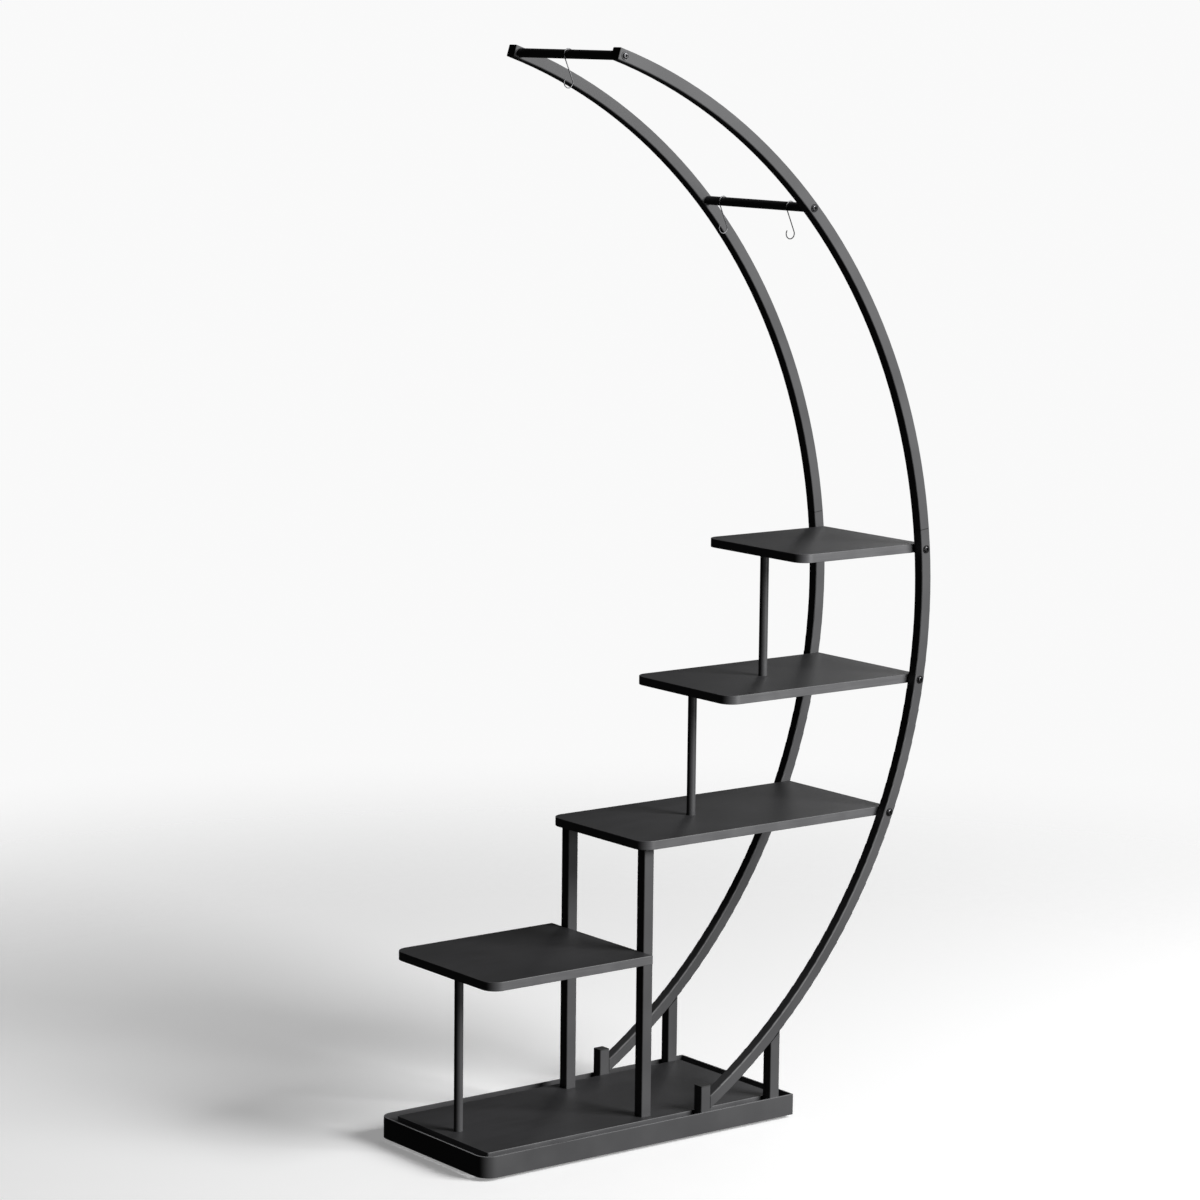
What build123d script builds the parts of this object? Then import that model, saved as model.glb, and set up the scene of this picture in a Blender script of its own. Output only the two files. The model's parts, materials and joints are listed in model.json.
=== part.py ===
from build123d import *
from math import acos, asin, atan2, cos, degrees, radians, sin, sqrt
import os

# Tiered plant stand: two half-moon arches of square steel tube rise from a low steel base,
# carry four laminated shelves between them and are tied together at the top by two round
# crossbars with S hooks. All sizes are in millimetres.
#
# While a piece is drawn, X runs from the base's left end, Y from the base's front face and
# Z from the floor. save() moves the origin to the middle of the stand at floor level.

# Steel tube, sheet and board
tube_side = 20.0
tube_wall = 1.5
tube_corner = 2.0
tube_inner_corner = 0.5
seam_groove = 0.4
bar_diameter = 15.0
bar_wall = 1.5
board_thickness = 15.0
band_thickness = 1.0
board_corner = 25.0
edge_round = 0.8

# Base: a steel band on edge, flat straps across it and a board lying on the straps
base_length = 646.0
base_depth = 304.0
rim_clear_of_floor = 6.0
rim_height = 35.5
rim_wall = 3.0
rim_left_corner = 25.0
rim_right_corner = 3.0
rim_edge_round = 0.6
base_board_corner = 3.0
end_slot = 21.0
strap_width = 30.0
strap_thickness = 4.0
strap_past_strut = 2.0

# Arches: circles about one axis that runs front to back
arch_centre_x = -35.0
arch_radius = 960.0
arch_seam_angle = 6.85
arch_end_angle = 72.77
arch_meets_foot_z = 67.8
arch_foot_right = 466.412
arch_foot_top = 86.0
arch_past_foot = 0.5
strut_from_end = 30.2
sleeve_below_seam = 60.0
sleeve_above_seam = 45.0
sleeve_wall = 1.5

# Crossbars, placed by angle on the arches
top_bar_angle = 72.05
hook_bar_angle = 43.9

# Shelves: height of each top face and where each left end lies
low_shelf_top = 323.0
middle_shelf_top = 512.5
upper_shelf_top = 737.0
top_shelf_top = 962.0
low_shelf_left = 20.5
upper_shelf_left = 508.0
top_shelf_left = 661.0
low_shelf_overhang = 10.0

# Posts
square_post_left = 347.548
square_post_inset = 15.0
low_post_inset = 35.5
high_post_inset = 27.0

# M6 fasteners, modelled with plain shanks
bolt_shank = 6.0
bolt_length = 35.0
flange_diameter = 13.6
flange_thickness = 1.2
button_diameter = 10.4
button_height = 2.1
button_round = 1.6
socket_across_flats = 4.0
socket_depth = 2.2
shank_tip = 0.7
insert_diameter = 10.0
insert_length = 13.0
stud_half = 12.0
tube_insert_length = 22.0
insert_hole_spare = 4.0
screw_hole_spare = 2.0

# Small screws that hold the base board to the straps
board_screw_shank = 4.0
board_screw_head = 8.0
board_screw_head_height = 2.0
board_screw_bite = 10.0
board_screw_spread = 75.0

# Plastic plugs in open tube ends
plug_head = 1.5
plug_stem = 6.0
plug_head_round = 0.5

# Levelling feet with an M8 stem
foot_off_strap_middle = 2.5
foot_inset_front = 32.0
pad_diameter = 30.0
pad_height = 5.0
pad_floor = 1.6
pad_round = 0.8
stem_diameter = 8.0
stem_above_strap = 2.0
stem_hole_room = 0.4
stem_pocket_room = 1.0
stem_travel_up = 5.0
stem_seat_gap = 0.1
collar_across_flats = 12.0
collar_height = 3.0
collar_gap = 0.3
nut_across_flats = 13.0
nut_height = 6.5

# S hooks bent from round wire
hook_wire = 1.8
hook_loop_spacing = 45.0
hook_top_end_angle = -10.0
hook_tip_angle = 140.0
hook_from_middle = 88.0

# Fits
slide_fit = 0.05
bar_hook_gap = 0.3
hole_clearance = 0.2
tube_fit = 0.3
plug_fit = 0.2
weld_gap = 0.1

# How far a cutting shape runs past the face that it opens
cut_past = 1.0

# Sizes that follow from the ones above
middle_y = base_depth / 2
rim_bottom = rim_clear_of_floor
rim_top = rim_bottom + rim_height
board_underside = rim_top - board_thickness
strap_bottom = board_underside - strap_thickness
front_tube_y = rim_wall + tube_side / 2
rear_tube_y = base_depth - front_tube_y
front_face_y = rim_wall
rear_face_y = base_depth - rim_wall
inner_front_y = rim_wall + tube_side
inner_rear_y = base_depth - inner_front_y
arch_outer_radius = arch_radius + tube_side / 2
arch_inner_radius = arch_radius - tube_side / 2
arch_foot_reach = arch_foot_right - arch_centre_x
arch_centre_z = arch_meets_foot_z + sqrt(arch_inner_radius**2 - arch_foot_reach**2)
arch_low_angle = -degrees(acos(arch_foot_reach / arch_outer_radius)) - arch_past_foot
overall_length = arch_centre_x + arch_outer_radius
strut_right = base_length - strut_from_end
strut_x = strut_right - tube_side / 2
middle_shelf_left = square_post_left - square_post_inset
board_left = rim_wall + tube_side
board_right = base_length - rim_wall - end_slot
bolt_hole = bolt_shank / 2 + hole_clearance
thread_hole = bolt_shank / 2 + slide_fit
insert_hole = insert_diameter / 2 + slide_fit
tube_hollow = tube_side - 2 * tube_wall
bar_hollow = bar_diameter - 2 * bar_wall
low_post_x = low_shelf_left + low_post_inset
upper_post_x = upper_shelf_left + high_post_inset
top_post_x = top_shelf_left + high_post_inset
square_post_x = square_post_left + tube_side / 2
front_post_y = inner_front_y + square_post_inset + tube_side / 2
rear_post_y = base_depth - front_post_y
arch_axis = Axis((arch_centre_x, 0, arch_centre_z), (0, -1, 0))
strap_centres = [
    low_post_x,
    square_post_x,
    arch_foot_right - tube_side / 2,
    strut_right + strap_past_strut - strap_width / 2,
]
foot_left_x = strap_centres[0]
foot_right_x = strap_centres[-1] - foot_off_strap_middle
foot_places = {
    "front_left": (foot_left_x, foot_inset_front),
    "front_right": (foot_right_x, foot_inset_front),
    "rear_left": (foot_left_x, base_depth - foot_inset_front),
    "rear_right": (foot_right_x, base_depth - foot_inset_front),
}


def box_between(x0, x1, y0, y1, z0, z1):
    block = Box(x1 - x0, y1 - y0, z1 - z0, align=(Align.MIN, Align.MIN, Align.MIN))
    return Pos(x0, y0, z0) * block


def rod_z(x, y, z0, z1, radius):
    rod = Cylinder(radius, z1 - z0, align=(Align.CENTER, Align.CENTER, Align.MIN))
    return Pos(x, y, z0) * rod


def rod_y(x, z, y0, y1, radius):
    rod = Cylinder(radius, y1 - y0, align=(Align.CENTER, Align.CENTER, Align.MIN))
    return Pos(x, y0, z) * Rot(-90, 0, 0) * rod


def rod_x(x0, x1, y, z, radius):
    rod = Cylinder(radius, x1 - x0, align=(Align.CENTER, Align.CENTER, Align.MIN))
    return Pos(x0, y, z) * Rot(0, 90, 0) * rod


def cut_all(solid, cutters):
    for cutter in cutters:
        solid = solid - cutter
    return solid


def group(solids):
    return Compound(children=[solid.solid() for solid in solids])


def arch_point(angle):
    x = arch_centre_x + arch_radius * cos(radians(angle))
    z = arch_centre_z + arch_radius * sin(radians(angle))
    return x, z


def arch_x(z, radius):
    return arch_centre_x + sqrt(radius**2 - (z - arch_centre_z) ** 2)


def tube_section():
    outside = RectangleRounded(tube_side, tube_side, tube_corner)
    inside = RectangleRounded(tube_hollow, tube_hollow, tube_inner_corner)
    return outside - inside


def square_tube(x, y, z0, z1):
    return Pos(x, y, z0) * extrude(tube_section(), z1 - z0)


def round_tube_z(x, y, z0, z1):
    return rod_z(x, y, z0, z1, bar_diameter / 2) - rod_z(x, y, z0, z1, bar_hollow / 2)


# The outline of a board or of the base band: its two left corners are rounded
def plate(x0, x1, y0, y1, z0, z1, left_corner):
    outline = Pos(x0, y0, z0) * Rectangle(x1 - x0, y1 - y0, align=(Align.MIN, Align.MIN))
    left = outline.vertices().group_by(Axis.X)[0]
    outline = fillet(left, left_corner)
    return extrude(outline, z1 - z0)


# Base
def base_rim():
    outside = plate(0, base_length, 0, base_depth, rim_bottom, rim_top, rim_left_corner)
    right = outside.edges().filter_by(Axis.Z).group_by(Axis.X)[-1]
    outside = fillet(right, rim_right_corner)
    outside = fillet(outside.faces().sort_by(Axis.Z)[-1].outer_wire().edges(), rim_edge_round)
    inside = plate(
        rim_wall,
        base_length - rim_wall,
        rim_wall,
        base_depth - rim_wall,
        rim_bottom - cut_past,
        rim_top + cut_past,
        rim_left_corner - rim_wall,
    )
    return outside - inside


def board_screw_places():
    places = []
    for x in strap_centres:
        for side in (-1, 1):
            places.append((x, middle_y + side * board_screw_spread))
    return places


def strap_holes():
    holes = []
    for x, y in foot_places.values():
        holes.append(rod_z(x, y, 0, rim_top, stem_diameter / 2 + stem_hole_room))
    for x, y in board_screw_places():
        holes.append(rod_z(x, y, 0, rim_top, board_screw_shank / 2 + hole_clearance))
    for x, y, z in post_feet():
        holes.append(rod_z(x, y, 0, rim_top, bolt_hole))
    return holes


def base_straps():
    straps = []
    for x in strap_centres:
        x0 = x - strap_width / 2
        x1 = x + strap_width / 2
        strap = box_between(x0, x1, rim_wall, rear_face_y, strap_bottom, board_underside)
        straps.append(cut_all(strap, strap_holes()))
    return group(straps)


def board_screws():
    screws = []
    bite = board_underside + board_screw_bite
    for x, y in board_screw_places():
        head_bottom = strap_bottom - board_screw_head_height
        head = rod_z(x, y, head_bottom, strap_bottom, board_screw_head / 2)
        shank = rod_z(x, y, strap_bottom, bite, board_screw_shank / 2)
        screws.append(head + shank)
    return group(screws)


# Boards: a core and the thin band glued round its edge
def board(x0, x1, y0, y1, top, corner, holes):
    bottom = top - board_thickness
    whole = plate(x0, x1, y0, y1, bottom, top, corner)
    rims = []
    for face in (whole.faces().sort_by(Axis.Z)[0], whole.faces().sort_by(Axis.Z)[-1]):
        rims = rims + list(face.outer_wire().edges())
    whole = cut_all(fillet(rims, edge_round), holes)
    inner = plate(
        x0 + band_thickness,
        x1 - band_thickness,
        y0 + band_thickness,
        y1 - band_thickness,
        bottom - cut_past,
        top + cut_past,
        corner - band_thickness,
    )
    return whole & inner, whole - inner


def base_board():
    holes = []
    stem_top = board_underside + stem_above_strap + stem_travel_up
    for x, y in foot_places.values():
        pocket_top = stem_top + screw_hole_spare
        pocket = rod_z(x, y, strap_bottom, pocket_top, stem_diameter / 2 + stem_pocket_room)
        holes.append(pocket)
    for x, y in board_screw_places():
        bite = board_underside + board_screw_bite + screw_hole_spare
        holes.append(rod_z(x, y, strap_bottom, bite, board_screw_shank / 2 + slide_fit))
    for x, y, z in post_feet():
        if z == rim_top:
            holes.append(rod_z(x, y, strap_bottom, rim_top, bolt_hole))
    edges = (board_left, board_right, inner_front_y, inner_rear_y)
    return board(*edges, rim_top, base_board_corner, holes)


# Shelves between the arches: threaded inserts sit in their front and rear edges
def arch_shelf_bolt_places():
    places = []
    for top in (middle_shelf_top, upper_shelf_top, top_shelf_top):
        z = top - board_thickness / 2
        places.append((arch_x(z, arch_radius), z))
    return places


def shelf_insert_holes():
    holes = []
    deep = insert_length + insert_hole_spare
    for x, z in arch_shelf_bolt_places():
        holes.append(rod_y(x, z, inner_front_y, inner_front_y + deep, insert_hole))
        holes.append(rod_y(x, z, inner_rear_y - deep, inner_rear_y, insert_hole))
    for y in (front_post_y, rear_post_y):
        z = low_shelf_top - board_thickness / 2
        holes.append(rod_x(square_post_left - deep, square_post_left, y, z, insert_hole))
    for x, y, z in post_heads():
        holes.append(rod_z(x, y, z, z + insert_length, insert_hole))
    for x, y, z in post_feet():
        if z > rim_top:
            holes.append(rod_z(x, y, z - board_thickness, z, bolt_hole))
    return holes


def arch_shelf(left, top):
    right = arch_x(top - board_thickness / 2, arch_outer_radius)
    edges = (left, right, inner_front_y, inner_rear_y)
    return board(*edges, top, board_corner, shelf_insert_holes())


def low_shelf():
    y0 = inner_front_y - low_shelf_overhang
    y1 = inner_rear_y + low_shelf_overhang
    edges = (low_shelf_left, square_post_left, y0, y1)
    return board(*edges, low_shelf_top, board_corner, shelf_insert_holes())


def threaded_insert():
    body = Cylinder(insert_diameter / 2, insert_length, align=(Align.CENTER, Align.CENTER, Align.MIN))
    return body - rod_z(0, 0, 0, insert_length, thread_hole)


def shelf_inserts():
    inserts = []
    for x, z in arch_shelf_bolt_places():
        inserts.append(Pos(x, inner_front_y, z) * Rot(-90, 0, 0) * threaded_insert())
        inserts.append(Pos(x, inner_rear_y, z) * Rot(90, 0, 0) * threaded_insert())
    for y in (front_post_y, rear_post_y):
        z = low_shelf_top - board_thickness / 2
        inserts.append(Pos(square_post_left, y, z) * Rot(0, -90, 0) * threaded_insert())
    for x, y, z in post_heads():
        inserts.append(Pos(x, y, z) * threaded_insert())
    return group(inserts)


# Fasteners: the shank points along +Z from the seat under the flange
def flange_bolt():
    shank = rod_z(0, 0, 0, bolt_length, bolt_shank / 2)
    shank = chamfer(shank.faces().sort_by(Axis.Z)[-1].edges(), shank_tip)
    flange = rod_z(0, 0, -flange_thickness, 0, flange_diameter / 2)
    head_top = -flange_thickness - button_height
    button = rod_z(0, 0, head_top, -flange_thickness, button_diameter / 2)
    button = fillet(button.faces().sort_by(Axis.Z)[0].edges(), button_round)
    hexagon = RegularPolygon(socket_across_flats / 2, 6, major_radius=False)
    socket = Pos(0, 0, head_top) * extrude(hexagon, socket_depth)
    return shank + flange + button - socket


def bolts_through_arches(places):
    bolts = []
    for x, z in places:
        bolts.append(Pos(x, front_face_y, z) * Rot(-90, 0, 0) * flange_bolt())
        bolts.append(Pos(x, rear_face_y, z) * Rot(90, 0, 0) * flange_bolt())
    return group(bolts)


def low_shelf_bolts():
    bolts = []
    for y in (front_post_y, rear_post_y):
        place = Pos(square_post_left + tube_side, y, low_shelf_top - board_thickness / 2)
        bolts.append(place * Rot(0, -90, 0) * flange_bolt())
    return group(bolts)


# Posts: where each one stands, and where each one meets the shelf above it
def post_feet():
    return [
        (square_post_x, front_post_y, rim_top),
        (square_post_x, rear_post_y, rim_top),
        (low_post_x, middle_y, rim_top),
        (upper_post_x, middle_y, middle_shelf_top),
        (top_post_x, middle_y, upper_shelf_top),
    ]


def post_heads():
    return [
        (square_post_x, front_post_y, middle_shelf_top - board_thickness),
        (square_post_x, rear_post_y, middle_shelf_top - board_thickness),
        (low_post_x, middle_y, low_shelf_top - board_thickness),
        (upper_post_x, middle_y, upper_shelf_top - board_thickness),
        (top_post_x, middle_y, top_shelf_top - board_thickness),
    ]


def square_post(y):
    post = square_tube(square_post_x, y, rim_top, middle_shelf_top - board_thickness)
    z = low_shelf_top - board_thickness / 2
    x0 = square_post_left - cut_past
    x1 = square_post_left + tube_side + cut_past
    return post - rod_x(x0, x1, y, z, bolt_hole)


def round_post(place, head):
    return round_tube_z(place[0], place[1], place[2], head[2])


def post_inserts(square):
    inserts = []
    for (x, y, z0), (_, _, z1) in zip(post_feet(), post_heads()):
        if (x == square_post_x) != square:
            continue
        for low in (z0, z1 - tube_insert_length):
            high = low + tube_insert_length
            if square:
                side = tube_hollow - 2 * slide_fit
                body = Pos(x, y, low) * extrude(Rectangle(side, side), tube_insert_length)
                body = chamfer(body.edges().filter_by(Axis.Z), tube_inner_corner)
            else:
                body = rod_z(x, y, low, high, bar_hollow / 2 - slide_fit)
            inserts.append(body - rod_z(x, y, low, high, thread_hole))
    return group(inserts)


# Screws from below clamp each post to the board it stands on
def post_screws():
    screws = []
    for x, y, z in post_feet():
        seat = z - board_thickness
        if z == rim_top:
            seat = strap_bottom
        screws.append(Pos(x, y, seat) * flange_bolt())
    return group(screws)


def post_studs():
    studs = []
    for x, y, z in post_heads():
        stud = rod_z(x, y, z - stud_half, z + stud_half, bolt_shank / 2)
        ends = stud.edges().filter_by(GeomType.CIRCLE)
        studs.append(chamfer(ends, shank_tip))
    return group(studs)


# Arches
def arch_piece(section, y, start, end):
    placed = Pos(arch_centre_x + arch_radius, y, arch_centre_z) * section
    swept = revolve(placed, axis=arch_axis, revolution_arc=end - start)
    return swept.rotate(arch_axis, start)


def arch_bolt_holes():
    holes = []
    places = arch_shelf_bolt_places() + [arch_point(top_bar_angle), arch_point(hook_bar_angle)]
    for x, z in places:
        for y in (front_tube_y, rear_tube_y):
            y0 = y - tube_side / 2 - cut_past
            y1 = y + tube_side / 2 + cut_past
            holes.append(rod_y(x, z, y0, y1, bolt_hole))
    return holes


# The two halves of an arch meet at a seam, with a shallow groove all round it
def seam_cutter(y):
    core = tube_side - 2 * seam_groove
    inside = RectangleRounded(core, core, tube_corner - seam_groove)
    outside = Rectangle(tube_side + 2 * cut_past, tube_side + 2 * cut_past)
    half = degrees(seam_groove / arch_radius)
    return arch_piece(outside - inside, y, arch_seam_angle - half, arch_seam_angle + half)


def lower_arch(y):
    arch = arch_piece(tube_section(), y, arch_low_angle, arch_seam_angle)
    y0 = y - tube_side
    y1 = y + tube_side
    past_foot = box_between(0, arch_foot_right, y0, y1, 0, arch_foot_top)
    return cut_all(arch - past_foot - seam_cutter(y), arch_bolt_holes())


def upper_arch(y):
    end = arch_end_angle - degrees(plug_head / arch_radius)
    arch = arch_piece(tube_section(), y, arch_seam_angle, end)
    return cut_all(arch - seam_cutter(y), arch_bolt_holes())


def arch_sleeves():
    side = tube_hollow - 2 * tube_fit
    hollow = side - 2 * sleeve_wall
    section = Rectangle(side, side) - Rectangle(hollow, hollow)
    start = arch_seam_angle - degrees(sleeve_below_seam / arch_radius)
    end = arch_seam_angle + degrees(sleeve_above_seam / arch_radius)
    sleeves = []
    for y in (front_tube_y, rear_tube_y):
        sleeves.append(cut_all(arch_piece(section, y, start, end), arch_bolt_holes()))
    return group(sleeves)


def arch_foot(y):
    x = arch_foot_right - tube_side / 2
    return square_tube(x, y, board_underside, arch_foot_top - plug_head)


def strut(y):
    post = square_tube(strut_x, y, board_underside, arch_centre_z)
    hoop = rod_y(arch_centre_x, arch_centre_z, 0, base_depth, arch_outer_radius + weld_gap)
    return (post - hoop).solids().sort_by(Axis.Z)[0]


# A plug: its head covers the tube's end and its stem fills the tube's mouth
def tube_plug():
    head = extrude(RectangleRounded(tube_side, tube_side, tube_corner), plug_head)
    head = fillet(head.faces().sort_by(Axis.Z)[-1].edges(), plug_head_round)
    side = tube_hollow - 2 * plug_fit
    stem = extrude(RectangleRounded(side, side, tube_inner_corner), -plug_stem)
    return head + stem


def arch_foot_plugs():
    x = arch_foot_right - tube_side / 2
    z = arch_foot_top - plug_head
    return group([Pos(x, y, z) * tube_plug() for y in (front_tube_y, rear_tube_y)])


def arch_end_plugs():
    angle = arch_end_angle - degrees(plug_head / arch_radius)
    plugs = []
    for y in (front_tube_y, rear_tube_y):
        plug = Pos(arch_centre_x + arch_radius, y, arch_centre_z) * tube_plug()
        plugs.append(plug.rotate(arch_axis, angle))
    return group(plugs)


# Crossbars
def crossbar(angle):
    x, z = arch_point(angle)
    outside = rod_y(x, z, inner_front_y, inner_rear_y, bar_diameter / 2)
    return outside - rod_y(x, z, inner_front_y, inner_rear_y, bar_hollow / 2)


def crossbar_inserts():
    inserts = []
    for angle in (top_bar_angle, hook_bar_angle):
        x, z = arch_point(angle)
        for y in (inner_front_y, inner_rear_y - tube_insert_length):
            end = y + tube_insert_length
            body = rod_y(x, z, y, end, bar_hollow / 2 - slide_fit)
            inserts.append(body - rod_y(x, z, y, end, thread_hole))
    return group(inserts)


# S hook: two loops joined by a straight strand, bent in one plane across the bar
def s_hook_wire():
    loop = bar_diameter / 2 + bar_hook_gap + hook_wire / 2
    lean = asin(2 * loop / hook_loop_spacing)
    lean_degrees = degrees(lean)
    upper_sweep = 180 + lean_degrees - hook_top_end_angle
    upper = CenterArc((0, 0), loop, hook_top_end_angle, upper_sweep)
    lower_end = hook_tip_angle - 360
    lower = CenterArc((0, -hook_loop_spacing), loop, lean_degrees, lower_end - lean_degrees)
    strand_top = (-loop * cos(lean), -loop * sin(lean))
    strand_bottom = (loop * cos(lean), loop * sin(lean) - hook_loop_spacing)
    strand = Line(strand_top, strand_bottom)
    path = Plane.XZ * Wire([upper.edge(), strand.edge(), lower.edge()])
    return sweep(Plane(origin=path @ 0, z_dir=path % 0) * Circle(hook_wire / 2), path=path)


# The hook hangs with its centre of mass straight below the bar
def s_hook(angle, y):
    hook = s_hook_wire()
    centre = hook.center(CenterOf.MASS)
    hook = hook.rotate(Axis.Y, degrees(atan2(centre.X, -centre.Z)))
    x, z = arch_point(angle)
    return Pos(x, y, z) * hook


# Levelling feet: a steel stem turns in the pad and in a nut welded under the strap
def foot_nuts():
    nuts = []
    for x, y in foot_places.values():
        hexagon = RegularPolygon(nut_across_flats / 2, 6, major_radius=False)
        nut = Pos(x, y, strap_bottom) * extrude(hexagon, -nut_height)
        nuts.append(nut - rod_z(x, y, 0, strap_bottom, stem_diameter / 2 + slide_fit))
    return group(nuts)


def foot_pad(x, y):
    pad = rod_z(x, y, 0, pad_height, pad_diameter / 2)
    pad = fillet(pad.edges().filter_by(GeomType.CIRCLE), pad_round)
    return pad - rod_z(x, y, pad_floor, pad_height, stem_diameter / 2 + slide_fit)


def foot_stem(x, y):
    top = board_underside + stem_above_strap
    stem = rod_z(x, y, pad_floor + stem_seat_gap, top, stem_diameter / 2)
    hexagon = RegularPolygon(collar_across_flats / 2, 6, major_radius=False)
    collar = Pos(x, y, pad_height + collar_gap) * extrude(hexagon, collar_height)
    return stem + collar


def save(name, shape):
    placed = Pos(-overall_length / 2, -base_depth / 2, 0) * shape
    export_step(placed, "parts/" + name + ".step")


def save_board(name, pair):
    core, band = pair
    save(name, core)
    save(name + "_edge_band", band)


os.makedirs("parts", exist_ok=True)

save("base_rim", base_rim())
save("base_straps", base_straps())
save("board_screws", board_screws())
save("foot_nuts", foot_nuts())
save_board("base_board", base_board())
save_board("low_shelf", low_shelf())
save_board("middle_shelf", arch_shelf(middle_shelf_left, middle_shelf_top))
save_board("upper_shelf", arch_shelf(upper_shelf_left, upper_shelf_top))
save_board("top_shelf", arch_shelf(top_shelf_left, top_shelf_top))
save("shelf_inserts", shelf_inserts())

for side, tube_y, post_y in (
    ("front", front_tube_y, front_post_y),
    ("rear", rear_tube_y, rear_post_y),
):
    save(side + "_lower_arch", lower_arch(tube_y))
    save(side + "_upper_arch", upper_arch(tube_y))
    save(side + "_arch_foot", arch_foot(tube_y))
    save(side + "_strut", strut(tube_y))
    save(side + "_square_post", square_post(post_y))

save("arch_sleeves", arch_sleeves())
save("arch_foot_plugs", arch_foot_plugs())
save("arch_end_plugs", arch_end_plugs())
save("top_crossbar", crossbar(top_bar_angle))
save("hook_crossbar", crossbar(hook_bar_angle))
save("crossbar_inserts", crossbar_inserts())
save("crossbar_bolts", bolts_through_arches([arch_point(top_bar_angle), arch_point(hook_bar_angle)]))
save("shelf_bolts", bolts_through_arches(arch_shelf_bolt_places()))
save("low_shelf_bolts", low_shelf_bolts())

for name, foot, head in zip(
    ("low_round_post", "upper_round_post", "top_round_post"),
    post_feet()[2:],
    post_heads()[2:],
):
    save(name, round_post(foot, head))

save("square_post_inserts", post_inserts(True))
save("round_post_inserts", post_inserts(False))
save("post_screws", post_screws())
save("post_studs", post_studs())

for corner, (x, y) in foot_places.items():
    save("foot_pad_" + corner, foot_pad(x, y))
    save("foot_stem_" + corner, foot_stem(x, y))

save("top_s_hook", s_hook(top_bar_angle, middle_y))
save("front_s_hook", s_hook(hook_bar_angle, middle_y - hook_from_middle))
save("rear_s_hook", s_hook(hook_bar_angle, middle_y + hook_from_middle))
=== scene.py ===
# %% [markdown]
# # A tiered plant stand in black steel
# The stand is two half-moon arches of square tube, a low steel base, four black shelves and
# two crossbars with S hooks. The measured steel and board pieces come in as a fixed frame.
# This lesson gives each of them its finish, adds the small work that a drawing leaves out,
# such as weld beads and screw threads, and then sets up a studio to look at it.

# %% Load the measured pieces
import json
from math import asin, cos, degrees, pi, radians, sin, sqrt, tau

import bmesh
import bpy
from mathutils import Matrix, Vector


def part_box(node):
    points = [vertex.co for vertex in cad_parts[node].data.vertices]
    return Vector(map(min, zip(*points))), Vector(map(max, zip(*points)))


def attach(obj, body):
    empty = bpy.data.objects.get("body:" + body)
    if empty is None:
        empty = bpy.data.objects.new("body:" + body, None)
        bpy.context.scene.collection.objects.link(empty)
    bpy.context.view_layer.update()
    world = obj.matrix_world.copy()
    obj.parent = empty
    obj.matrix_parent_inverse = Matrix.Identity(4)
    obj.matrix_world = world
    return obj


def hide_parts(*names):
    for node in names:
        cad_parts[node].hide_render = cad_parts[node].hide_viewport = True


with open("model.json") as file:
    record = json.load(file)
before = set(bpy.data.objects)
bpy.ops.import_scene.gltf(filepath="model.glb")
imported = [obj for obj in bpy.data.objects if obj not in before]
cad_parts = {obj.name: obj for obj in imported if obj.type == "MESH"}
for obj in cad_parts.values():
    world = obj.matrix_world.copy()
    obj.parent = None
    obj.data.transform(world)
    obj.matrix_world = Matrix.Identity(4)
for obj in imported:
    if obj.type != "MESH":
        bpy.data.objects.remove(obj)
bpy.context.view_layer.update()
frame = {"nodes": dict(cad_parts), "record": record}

# %% [markdown]
# ## The camera
# A photograph of furniture is usually taken from some metres away with a long lens, so that
# upright posts stay nearly parallel. The place, the heading and the lens below were worked out
# from the edges of the stand. The camera turns about its own line of sight by a small roll.

# %% Camera
camera_place = Vector((-3.936990, -4.978968, 1.865914))
camera_heading = radians(37.394)
camera_tilt_down = radians(8.786)
camera_roll = radians(0.622)
camera_lens = 115.461
camera_film = 36.0
camera_sees_to = 100.0

line_of_sight = Vector(
    (
        sin(camera_heading) * cos(camera_tilt_down),
        cos(camera_heading) * cos(camera_tilt_down),
        -sin(camera_tilt_down),
    )
)
lens = bpy.data.cameras.new("studio_camera")
lens.lens = camera_lens
lens.sensor_width = camera_film
lens.clip_end = camera_sees_to
camera = bpy.data.objects.new("studio_camera", lens)
bpy.context.scene.collection.objects.link(camera)
level_view = line_of_sight.to_track_quat("-Z", "Y").to_matrix()
rolled_view = level_view @ Matrix.Rotation(camera_roll, 3, "Z")
camera.matrix_world = Matrix.Translation(camera_place) @ rolled_view.to_4x4()
bpy.context.scene.camera = camera
print("camera at", tuple(camera_place), "lens", camera_lens, "mm")

# %% [markdown]
# ## Writing a finish as arithmetic
# Blender mixes a material from small nodes. Wiring them by hand is slow to read, so one class
# stands for the output of a node and lets Python's own signs make Math nodes: `1 - mask` is a
# Subtract node. The other class holds the nodes of one material or of the surroundings. Its
# one method, `node`, makes any node from its type, its settings and what goes into its sockets.


# %% The two classes
class Signal:
    """What comes out of one node of a finish."""

    def __init__(self, finish, socket):
        self.finish = finish
        self.socket = socket

    def maths(self, operation, first, second):
        return self.finish.node(
            "ShaderNodeMath", {"operation": operation}, {0: first, 1: second}
        )

    def __add__(self, other):
        return self.maths("ADD", self, other)

    def __rsub__(self, other):
        return self.maths("SUBTRACT", other, self)

    def __mul__(self, other):
        return self.maths("MULTIPLY", self, other)

    def __abs__(self):
        return self.maths("ABSOLUTE", self, 0)

    __radd__ = __add__
    __rmul__ = __mul__


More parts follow.
